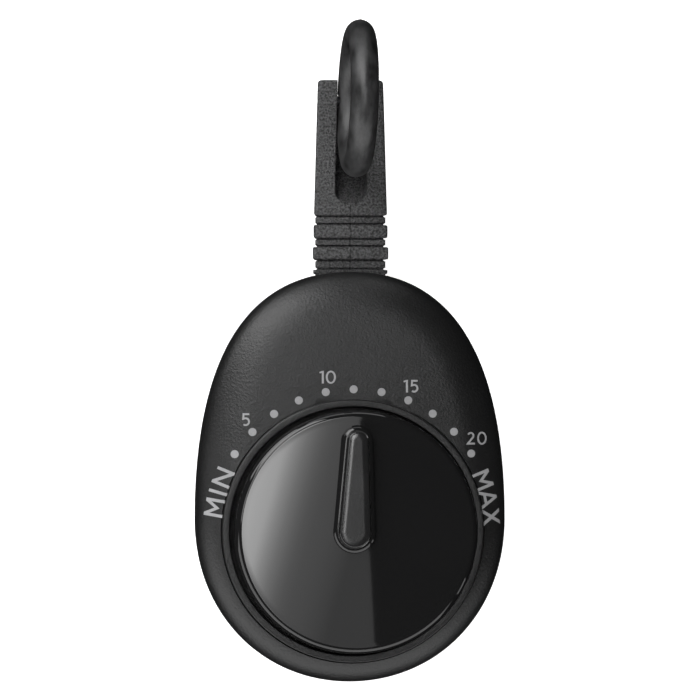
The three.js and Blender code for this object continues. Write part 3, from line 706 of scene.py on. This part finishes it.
def knob_dome(radius):
    """Z of the knob's domed top."""
    return KNOB_TOP_Z - (KNOB_TOP_Z - KNOB_EDGE_Z) * (radius / (KNOB_R - KNOB_FILLET)) ** 2


def dial_knob():
    sides = 192
    in_r = KNOB_R - KNOB_WALL
    profile = [(0, knob_dome(0))]
    for i in range(1, 25):
        radius = (KNOB_R - KNOB_FILLET) * i / 24
        profile.append((radius, knob_dome(radius)))
    profile += arc((KNOB_R - KNOB_FILLET, KNOB_EDGE_Z - KNOB_FILLET), KNOB_FILLET, 86, 0, 10)
    profile += arc((KNOB_R - 0.3, KNOB_LOW.z + 0.3), 0.3, 0, -90, 3)
    profile += [
        (in_r, KNOB_LOW.z),
        (in_r, KNOB_EDGE_Z - KNOB_WALL - 1),
        (in_r - 1, KNOB_EDGE_Z - KNOB_WALL),
        (0, KNOB_TOP_Z - KNOB_WALL),
    ]
    knob = turned("knob", profile, sides)
    hub = rod(HUB_R, (KNOB_LOW.z, KNOB_TOP_Z - 0.6), sides=64)
    knob = combine(knob, hub, "UNION")

    grip = loft("grip", [
        ring_xy(teardrop(GRIP, 0.4), KNOB_TOP_Z - 1.1),
        ring_xy(teardrop(GRIP, -0.02), GRIP_TOP_Z - 0.32),
        ring_xy(teardrop(GRIP, -0.1), GRIP_TOP_Z - 0.22),
        ring_xy(teardrop(GRIP, -0.7), GRIP_TOP_Z),
    ])
    knob = combine(knob, grip, "UNION")

    recess = loft("recess", [
        ring_xy(teardrop(INLAY, 0.2), INLAY_LOW.z - GAP),
        ring_xy(teardrop(INLAY, 0.2), GRIP_TOP_Z - 0.04),
        ring_xy(teardrop(INLAY, 0.24), GRIP_TOP_Z),
        ring_xy(teardrop(INLAY, 0.45), GRIP_TOP_Z + 0.21),
    ])
    knob = combine(knob, recess, "DIFFERENCE")
    bore = rod(SHAFT_R, (KNOB_LOW.z - 1, SHAFT_TOP_Z), sides=48)
    flat = box((FLAT_X, 10), (-10, 10), (0, 40))
    bore = combine(bore, flat, "DIFFERENCE")
    knob = combine(knob, bore, "DIFFERENCE")
    return piece(knob, "dial_knob_gloss", GLOSS, "dial", ["dial_knob"])


def grip_inlay():
    """A bar with a broad soft chamfer round its top."""
    top = INLAY_HIGH.z
    bar = loft("bar", [
        ring_xy(teardrop(INLAY), INLAY_LOW.z),
        ring_xy(teardrop(INLAY), top - 0.34),
        ring_xy(teardrop(INLAY, -0.05), top - 0.2),
        ring_xy(teardrop(INLAY, -0.15), top - 0.12),
        ring_xy(teardrop(INLAY, -0.3), top - 0.08),
        ring_xy(teardrop(INLAY, -0.5), top - 0.053),
        ring_xy(teardrop(INLAY, -0.9), top - 0.017),
        ring_xy(teardrop(INLAY, -1.1), top),
        ring_xy(teardrop(INLAY, -1.35), top),
    ])
    return piece(bar, "grip_inlay_bar", SATIN, "dial", ["grip_inlay"])


# ---- Hanger arm and ring ----

def arm_section(y, half_width, z, line):
    """A rounded rectangle across the arm. A mould line `line` deep runs down its faces."""
    low, high = z
    radius = ARM_ROUND
    near, far = MOULD_LINE_X
    points = []
    corners = (
        ((half_width - radius, high - radius), 0),
        ((radius - half_width, high - radius), 90),
        ((radius - half_width, low + radius), 180),
        ((half_width - radius, low + radius), 270),
    )
    for centre, start in corners:
        points += arc(centre, radius, start, start + 90, 6)
        if start == 0:
            points += [(far, high), (near, high - line), (-near, high - line), (-far, high)]
        if start == 180:
            points += [(-far, low), (-near, low + line), (near, low + line), (far, low)]
    if y <= FLANGE_Y[1]:
        return [(x, y, height) for x, height in points]
    section = []
    for x, height in points:
        lean = ARM_DRAFT * max(ARM_WIDEST_Z - height, 0)
        section.append((x * (1 - lean / half_width), y, height))
    return section


def rib(y, half_width, z):
    """Sections of a rib with rounded edges, between two grooves round the neck."""
    sections = []
    for low_side in (True, False):
        steps = arc((0, 0), RIB_EDGE, 180, 90, 4)
        if not low_side:
            steps = [(-x, v) for x, v in reversed(steps)]
        for x, rise in steps:
            drop = RIB_EDGE - rise
            at = y[0] + RIB_EDGE + x if low_side else y[1] - RIB_EDGE + x
            sections.append((at, half_width - drop, (z[0] + drop, z[1] - drop)))
    after = [(y[1], *GROOVE), (y[1] + 0.2, *GROOVE), (y[1] + 0.42, NECK_X, NECK_Z)]
    return [*groove_below(y[0]), *sections, *after]


def groove_below(y):
    """Sections from the neck into the groove that ends at y."""
    return [(y - 0.42, NECK_X, NECK_Z), (y - 0.2, *GROOVE), (y, *GROOVE)]


def slot_outline(grow):
    """The slot from the front. Its left wall leans with the ring."""
    centre = (0, SLOT_LOW_Y + SLOT_X)
    low = arc(centre, SLOT_X + grow, 180, 360, 24)
    left = SLOT_LEFT_X - grow
    low = [(max(x, left), y) for x, y in low]
    left_end = left + (SLOT_END_Y - centre[1]) * math.tan(RING_LEAN)
    return low + [(SLOT_X + grow, SLOT_END_Y), (left_end, SLOT_END_Y)]


def pin_hole(radius):
    profile = [(-10, 0), (-10, radius), (10, radius), (10, 0)]
    return turned_about_x("hole", profile, 48, (PIN.y, PIN.z))


def hanger_arm():
    stations = [(FLANGE_Y[0], FLANGE_X - 0.2, (FLANGE_Z[0] + 0.2, FLANGE_Z[1] - 0.2))]
    stations += [(FLANGE_Y[0] + 0.2, FLANGE_X, FLANGE_Z), (FLANGE_Y[1], FLANGE_X, FLANGE_Z)]
    stations += [(FLANGE_Y[1] + 0.01, NECK_X, NECK_Z)]
    low, high, half_width = ROOT_RIB
    stations.append((low - 0.15, NECK_X, NECK_Z))
    stations += [(low, half_width, NECK_Z), (high, half_width, NECK_Z)]
    stations += [(high + 0.1, *GROOVE), (high + 0.3, *GROOVE), (high + 0.5, NECK_X, NECK_Z)]
    for low, high, half_width in RIBS:
        stations += rib((low, high), half_width, RIB_Z)
    stations += groove_below(ARM_LOW_Y)
    for x, rise in arc((0, 0), BLADE_LOW_EDGE, 180, 90, 4):
        drop = BLADE_LOW_EDGE - rise
        y = ARM_LOW_Y + BLADE_LOW_EDGE + x
        stations.append((y, ARM_LOW_X - drop, (ARM_Z[0] + drop, ARM_Z[1] - drop)))
    taper = (ARM_TOP_X - ARM_LOW_X) / (ARM_HIGH.y - ARM_LOW_Y)
    for share in (0.25, 0.5, 0.75):
        y = ARM_LOW_Y + (ARM_HIGH.y - ARM_LOW_Y) * share
        stations.append((y, ARM_LOW_X + taper * (y - ARM_LOW_Y), ARM_Z))
    for x, rise in arc((0, 0), BLADE_TOP_EDGE, 90, 0, 6):
        y = ARM_HIGH.y - BLADE_TOP_EDGE + x
        drop = BLADE_TOP_EDGE - rise
        stations.append((y, ARM_TOP_X - drop, (ARM_Z[0] + drop, ARM_Z[1] - drop)))
    sections = []
    for y, half_width, z in stations:
        line = 0.0 if y < TOP_Y + 0.5 else MOULD_LINE_DEPTH
        sections.append(arm_section(y, half_width, z, line))
    arm = loft("arm", sections)

    outline = slot_outline(0)
    slot = loft("slot", [ring_xy(outline, 0), ring_xy(outline, 60)])
    discs = []
    reach = RING_R + RING_TUBE_R + GAP
    rim = SLOT_X + 0.5
    corner = 1.5
    for stop in RING_STOPS:
        centre = (PIN.y + RING_R * math.sin(stop), PIN.z + RING_R * math.cos(stop))
        profile = [(-rim, 0), (-rim, reach - corner), (corner - rim, reach)]
        profile += [(rim - corner, reach), (rim, reach - corner), (rim, 0)]
        discs.append(turned_about_x("disc", profile, 120, centre))
    sweep = combine(discs[0], discs[1], "UNION")
    slot = combine(slot, sweep, "INTERSECT")
    arm = combine(arm, slot, "DIFFERENCE")
    rim_cut = loft("rim", [
        ring_xy(slot_outline(0.02), ARM_Z[1] - 0.14),
        ring_xy(slot_outline(0.28), ARM_Z[1] + 0.12),
    ])
    arm = combine(arm, rim_cut, "DIFFERENCE")
    arm = combine(arm, pin_hole(1.45), "DIFFERENCE")
    return piece(arm, "hanger_arm_body", ARM, "housing", ["hanger_arm"])


def hanging_ring():
    """A torus in the YZ plane with a mould line round its outside, leaning a little about Z."""
    steps, sides = 120, 40
    centre_y, centre_z = PIN.y, PIN.z + RING_R
    rings = []
    for i in range(steps):
        a = TAU * i / steps
        ring = []
        for j in range(sides):
            b = TAU * j / sides
            tube = RING_TUBE_R + (0.07 if j == 0 else 0)
            radius = RING_R + tube * math.cos(b)
            x = tube * math.sin(b)
            ring.append((x, centre_y + radius * math.cos(a), centre_z + radius * math.sin(a)))
        rings.append(ring)
    ring = loft("ring", rings, loop=True)
    ring = combine(ring, pin_hole(1.5), "DIFFERENCE")
    pivot = Matrix.Translation((0, RING_LEAN_Y, 0))
    ring.data.transform(pivot @ Matrix.Rotation(-RING_LEAN, 4, "Z") @ pivot.inverted())
    return piece(ring, "hanging_ring_loop", RING, "ring", ["hanging_ring"])


def ring_pin():
    half = (PIN_HIGH.x - PIN_LOW.x) / 2
    radius = (PIN_HIGH.z - PIN_LOW.z) / 2
    edge = 0.25
    profile = [(-half, 0), (-half, radius - edge), (-half + edge, radius)]
    profile += [(half - edge, radius), (half, radius - edge), (half, 0)]
    pin = turned_about_x("pin", profile, 40, (PIN.y, PIN.z))
    return piece(pin, "ring_pin_rod", BLACK_STEEL, "housing", ["ring_pin"])


# ---- Printing on the dial ----

DIGIT_STROKE = 0.145
LETTER_STROKE = 0.165
NUMERAL_HEIGHT = 2.5
LETTER_HEIGHT = 3.6
DOT_RING_R = 28.2
DOT_R = 0.8
DOT_STEP = math.radians(11.4)
WORD_RING_R = 28.0                          # the two words follow a circle round the knob


def stroke(path, width):
    """The outline of a line of even width along a path, with mitred corners."""
    points = [np.array(p, float) for p in path]
    left, right = [], []
    for i, p in enumerate(points):
        before = points[i] - points[i - 1] if i else points[1] - points[0]
        after = points[i + 1] - points[i] if i < len(points) - 1 else before
        before = before / np.linalg.norm(before)
        after = after / np.linalg.norm(after)
        bisector = before + after
        bisector /= np.linalg.norm(bisector)
        normal = np.array([-bisector[1], bisector[0]])
        reach = width / 2 / max(abs(normal @ np.array([-after[1], after[0]])), 0.35)
        left.append(tuple(p + normal * reach))
        right.append(tuple(p - normal * reach))
    return left + right[::-1]


def ellipse(centre, rx, ry, steps=40):
    turns = [TAU * i / steps for i in range(steps)]
    return [(centre[0] + rx * math.cos(a), centre[1] + ry * math.sin(a)) for a in turns]


def glyph(letter):
    """Width and outlines of a plain letter one unit high. Outlines after the first are holes."""
    w = LETTER_STROKE
    if letter == "I":
        return w, [[(0, 0), (w, 0), (w, 1), (0, 1)]]
    if letter == "1":
        return 0.36, [[
            (0.2, 0), (0.36, 0), (0.36, 1), (0.25, 1), (0, 0.92), (0.035, 0.8), (0.2, 0.845),
        ]]
    if letter == "M":
        return 0.98, [[
            (0, 0), (w, 0), (w, 0.72), (0.49, 0.22), (0.98 - w, 0.72), (0.98 - w, 0),
            (0.98, 0), (0.98, 1), (0.98 - w * 1.08, 1), (0.49, 0.5), (w * 1.08, 1), (0, 1),
        ]]
    if letter == "N":
        return 0.95, [[
            (0, 0), (w, 0), (w, 0.735), (0.95 - w * 0.87, 0), (0.95, 0), (0.95, 1),
            (0.95 - w, 1), (0.95 - w, 0.28), (w * 0.93, 1), (0, 1),
        ]]
    if letter == "A":
        return 1.02, [
            [
                (0, 0), (0.19, 0), (0.28, 0.225), (0.74, 0.225),
                (0.83, 0), (1.02, 0), (0.585, 1.005), (0.435, 1.005),
            ],
            [(0.34, 0.38), (0.68, 0.38), (0.51, 0.78)],
        ]
    if letter == "X":
        return 0.92, [[
            (0, 0), (0.21, 0), (0.46, 0.365), (0.71, 0), (0.92, 0), (0.575, 0.51),
            (0.902, 1), (0.7, 1), (0.462, 0.655), (0.225, 1), (0.02, 1), (0.347, 0.505),
        ]]
    if letter == "0":
        return 0.8, [ellipse((0.4, 0.5), 0.4, 0.52), ellipse((0.4, 0.5), 0.25, 0.385)]
    if letter == "2":
        top = arc((0.345, 0.705), 0.27 - 0.045, 158, -28, 14)
        path = [*top, (0.1, 0.075), (0.69, 0.075)]
        return 0.72, [stroke(path, DIGIT_STROKE)]
    if letter == "5":
        bowl = arc((0.335, 0.335), 0.27, 118, -128, 18)
        path = [(0.62, 0.93), (0.175, 0.93), (0.145, 0.56), *bowl]
        return 0.7, [stroke(path, DIGIT_STROKE)]
    raise ValueError(letter)


def word(text, height, spacing):
    """Outlines of a word, centred on the origin."""
    outlines, at = [], 0.0
    for letter in text:
        width, parts = glyph(letter)
        outlines.append([[((at + x) * height, y * height) for x, y in part] for part in parts])
        at += width + spacing
    shift = (at - spacing) * height / 2
    return [
        [[(x - shift, y - height / 2) for x, y in part] for part in parts]
        for parts in outlines
    ]


def filled(outlines):
    """A flat mesh of outlines, each with its holes, cut into small cells."""
    curve = bpy.data.curves.new("print", "CURVE")
    curve.dimensions = "2D"
    curve.fill_mode = "BOTH"
    for parts in outlines:
        for part in parts:
            spline = curve.splines.new("POLY")
            spline.points.add(len(part) - 1)
            for point, (x, y) in zip(spline.points, part):
                point.co = (x, y, 0, 1)
            spline.use_cyclic_u = True
    holder = bpy.data.objects.new("print", curve)
    bpy.context.scene.collection.objects.link(holder)
    graph = bpy.context.evaluated_depsgraph_get()
    mesh = bpy.data.meshes.new_from_object(holder.evaluated_get(graph))
    shape = bmesh.new()
    shape.from_mesh(mesh)
    bpy.data.objects.remove(holder)
    bmesh.ops.remove_doubles(shape, verts=shape.verts, dist=1e-4)
    cell = 0.45
    for axis in (0, 1):
        values = [v.co[axis] for v in shape.verts]
        line = math.floor(min(values) / cell) * cell + cell
        while line < max(values):
            co, no = [0, 0, 0], [0, 0, 0]
            co[axis], no[axis] = line, 1
            geometry = [*shape.verts, *shape.edges, *shape.faces]
            bmesh.ops.bisect_plane(shape, geom=geometry, plane_co=co, plane_no=no, dist=1e-5)
            line += cell
    return shape


def on_face(shape, proud=0.02, sunk=0.05):
    """Points and faces of a flat mesh laid on the housing's front as a thin closed layer."""
    flat = np.array([(v.co.x, v.co.y) for v in shape.verts])
    shape.verts.index_update()
    z = face_height(flat)
    count = len(flat)
    points = np.vstack([np.column_stack([flat, z + proud]), np.column_stack([flat, z - sunk])])
    faces = []
    for f in shape.faces:
        ids = [v.index for v in f.verts]
        faces.append(tuple(ids))
        faces.append(tuple(i + count for i in reversed(ids)))
    for e in shape.edges:
        if len(e.link_faces) == 1:
            a, b = e.verts[0].index, e.verts[1].index
            faces.append((a, b, b + count, a + count))
    shape.free()
    return points, faces


def place(outlines, at, turn):
    """Turns outlines and moves them to a point of the face."""
    c, s = math.cos(turn), math.sin(turn)
    return [
        [[(at[0] + x * c - y * s, at[1] + x * s + y * c) for x, y in part] for part in parts]
        for parts in outlines
    ]


def dial_print():
    dots = []
    for i in range(-5, 6):
        a = DOT_STEP * i
        dots.append([circle(DOT_R, 32, (DOT_RING_R * math.sin(a), DOT_RING_R * math.cos(a)))])
    labels = {
        "print_5": ("5", (-21.45, 22.2)),
        "print_10": ("10", (-5.2, 30.6)),
        "print_15": ("15", (11.5, 28.8)),
        "print_20": ("20", (24.8, 18.4)),
    }
    sets = {"print_dots": dots}
    for name, (text, at) in labels.items():
        sets[name] = place(word(text, NUMERAL_HEIGHT, 0.16), at, 0)
    for text, angles in (("MIN", (170.3, 163.9, 157.5)), ("MAX", (21.1, 13.2, 5.5))):
        letters = []
        for letter, angle in zip(text, angles):
            a = math.radians(angle)
            at = (WORD_RING_R * math.cos(a), WORD_RING_R * math.sin(a))
            letters += place(word(letter, LETTER_HEIGHT, 0), at, a - math.pi / 2)
        sets["print_" + text.lower()] = letters
    for name, outlines in sets.items():
        layer = new_object(name, *on_face(filled(outlines)))
        piece(layer, name, INK, "housing", sharp=50)


# ---- Build ----

front_housing()
rear_cover()
for number in (1, 2, 3, 4):
    cover_screw(number)
dial_knob()
grip_inlay()
hanger_arm()
hanging_ring()
ring_pin()
dial_print()

METALS = (
    (BRASS, (
        "back_plate", "front_plate", "great_wheel", "alarm_cam", "second_wheel", "third_wheel",
        "escape_wheel", "balance_wheel", "shaft_bush",
    )),
    (STEEL, (
        "pillar_1", "pillar_2", "pillar_3",
        "movement_screw_1", "movement_screw_2", "movement_screw_3",
        "main_arbor", "second_pinion", "third_pinion", "escape_pinion", "balance_staff",
        "pallet_anchor", "hammer_arbor", "trip_lever", "bell_hammer", "bell_post", "bell_screw",
    )),
    (SPRING, ("mainspring", "hammer_spring", "hub_clip")),
    (BELL, ("bell",)),
)
for material, nodes in METALS:
    for node in nodes:
        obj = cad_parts[node]
        obj.data.materials.clear()
        obj.data.materials.append(material)


# ---- Stage, lights and camera ----

def stage_plane(name, corners, material):
    mesh = bpy.data.meshes.new(name)
    mesh.from_pydata([tuple(c) for c in corners], [], [(0, 1, 2, 3)])
    plane = bpy.data.objects.new(name, mesh)
    bpy.context.scene.collection.objects.link(plane)
    mesh.materials.append(material)
    return plane


def emission(name, strength):
    material = bpy.data.materials.new(name)
    material.use_nodes = True
    tree = material.node_tree
    tree.nodes.clear()
    output = tree.nodes.new("ShaderNodeOutputMaterial")
    light = tree.nodes.new("ShaderNodeEmission")
    light.inputs["Strength"].default_value = strength
    tree.links.new(light.outputs["Emission"], output.inputs["Surface"])
    return material, tree, light


def floor():
    """A pale floor seen by the camera only, which keeps the object's edges dark."""
    material = bpy.data.materials.new("floor")
    material.use_nodes = True
    tree = material.node_tree
    principled = tree.nodes["Principled BSDF"]
    principled.inputs["Base Color"].default_value = (0.9, 0.9, 0.9, 1)
    principled.inputs["Roughness"].default_value = 0.9
    principled.inputs["Emission Color"].default_value = (1, 1, 1, 1)
    principled.inputs["Emission Strength"].default_value = 0.93
    half, z = 6.0, cad_low.z - 0.0002
    corners = [(-half, -half, z), (half, -half, z), (half, half, z), (-half, half, z)]
    plane = stage_plane("floor", corners, material)
    plane.visible_glossy = False
    plane.visible_diffuse = False


def backdrop():
    """A wide white wall all round, seen only by the camera."""
    material, _, _ = emission("backdrop", 1.0)
    outline = circle(5.5, 48)
    wall = loft("backdrop", [ring_xy(outline, -0.5), ring_xy(outline, 6)])
    wall.data.materials.append(material)
    wall.visible_glossy = False
    wall.visible_diffuse = False
    wall.visible_shadow = False


def softbox(name, centre, size, aim, strength, turn=0.0, stops=(), slant=0.0):
    """A glowing panel facing a point. stops are (x + slant * y on the panel, strength)."""
    material, tree, light = emission(name, strength)
    if stops:
        low, high = stops[0][0], stops[-1][0]
        peak = max(value for _, value in stops)
        place_node = tree.nodes.new("ShaderNodeTexCoord")
        split = tree.nodes.new("ShaderNodeSeparateXYZ")
        across = tree.nodes.new("ShaderNodeMath")
        across.operation = "MULTIPLY_ADD"
        across.inputs[1].default_value = slant
        reach = tree.nodes.new("ShaderNodeMapRange")
        reach.inputs["From Min"].default_value = low
        reach.inputs["From Max"].default_value = high
        blend = tree.nodes.new("ShaderNodeValToRGB")
        elements = blend.color_ramp.elements
        for _ in stops[2:]:
            elements.new(0.5)
        for element, (at, value) in zip(elements, stops):
            element.position = (at - low) / (high - low)
            element.color = (value / peak, value / peak, value / peak, 1)
        tree.links.new(place_node.outputs["Object"], split.inputs["Vector"])
        tree.links.new(split.outputs["Y"], across.inputs[0])
        tree.links.new(split.outputs["X"], across.inputs[2])
        tree.links.new(across.outputs["Value"], reach.inputs["Value"])
        tree.links.new(reach.outputs["Result"], blend.inputs["Fac"])
        tree.links.new(blend.outputs["Color"], light.inputs["Color"])
        light.inputs["Strength"].default_value = peak
    x, y = size[0] / 2, size[1] / 2
    panel = stage_plane(name, [(-x, -y, 0), (x, -y, 0), (x, y, 0), (-x, y, 0)], material)
    facing = (Vector(aim) - Vector(centre)).to_track_quat("-Z", "Y").to_matrix().to_4x4()
    panel.matrix_world = Matrix.Translation(centre) @ facing @ Matrix.Rotation(turn, 4, "Z")
    panel.visible_camera = False


SIDE_DISTANCE = 1.4


def side_softbox(name, azimuth, elevation, size, strength):
    """A panel round the timer, aimed at the dial. Azimuth runs anticlockwise from +X."""
    a, e = math.radians(azimuth), math.radians(elevation)
    aim = Vector((0, 0.03, 0))
    away = Vector((math.cos(e) * math.cos(a), math.cos(e) * math.sin(a), math.sin(e)))
    softbox(name, aim + away * SIDE_DISTANCE, size, aim, strength)


KEY_Z = 1.3
KEY_X = (-0.1, 0.152)                       # the knob mirrors the right edge down its middle
KEY_STOPS = (
    (-0.1, 10.0), (-0.03, 7.8), (-0.01, 5.2), (0.01, 3.4), (0.03, 2.3),
    (0.046, 1.75), (0.065, 1.45), (0.1, 1.25), (0.13, 1.0), (0.152, 0.75),
)


def lights():
    world = bpy.data.worlds.new("studio")
    bpy.context.scene.world = world
    world.use_nodes = True
    background = world.node_tree.nodes["Background"]
    background.inputs["Color"].default_value = (1, 1, 1, 1)
    background.inputs["Strength"].default_value = 0.01
    middle = (KEY_X[0] + KEY_X[1]) / 2
    softbox(
        "key_softbox", (middle, 0, KEY_Z), (KEY_X[1] - KEY_X[0], 0.66), (middle, 0, 0), 1.0,
        turn=math.radians(4), stops=[(x - middle, value) for x, value in KEY_STOPS], slant=-0.36,
    )
    softbox("top_left_softbox", (-0.45, 0.45, KEY_Z), (0.25, 0.9), (-0.45, 0.45, 0), 4.6)
    side_softbox("upper_left_softbox", 124, 45, (0.8, 0.7), 5.8)
    side_softbox("far_left_softbox", 135, 17, (0.9, 0.6), 4.2)
    side_softbox("top_softbox", 90, 16, (1.0, 0.6), 1.7)
    side_softbox("lower_left_softbox", 225, 24, (1.9, 1.1), 2.3)
    side_softbox("low_softbox", 287, 24, (1.7, 1.1), 2.0)
    softbox("right_strip", (1.0, -0.5, 0.35), (0.15, 0.5), (0, 0, 0), 2.0)


VIEW_DISTANCE = 0.9
VIEW_WIDTH = 0.14
VIEW_YAW = math.radians(6)
VIEW_TARGET = Vector((-0.0001, 0.036, 0.0167))


def camera():
    view = bpy.data.cameras.new("camera")
    view.sensor_width = 36
    view.lens = view.sensor_width * VIEW_DISTANCE / VIEW_WIDTH
    holder = bpy.data.objects.new("camera", view)
    bpy.context.scene.collection.objects.link(holder)
    back = Vector((-math.sin(VIEW_YAW), 0, math.cos(VIEW_YAW)))
    holder.location = VIEW_TARGET + back * VIEW_DISTANCE
    right = Vector((math.cos(VIEW_YAW), 0, math.sin(VIEW_YAW)))
    up = Vector((0, 1, 0))
    turn = Matrix((right, up, back)).transposed()
    holder.rotation_mode = "QUATERNION"
    holder.rotation_quaternion = turn.to_quaternion()
    view.clip_start, view.clip_end = 0.01, 50
    bpy.context.scene.camera = holder
    bpy.context.scene.view_settings.view_transform = "Standard"


floor()
backdrop()
lights()
camera()
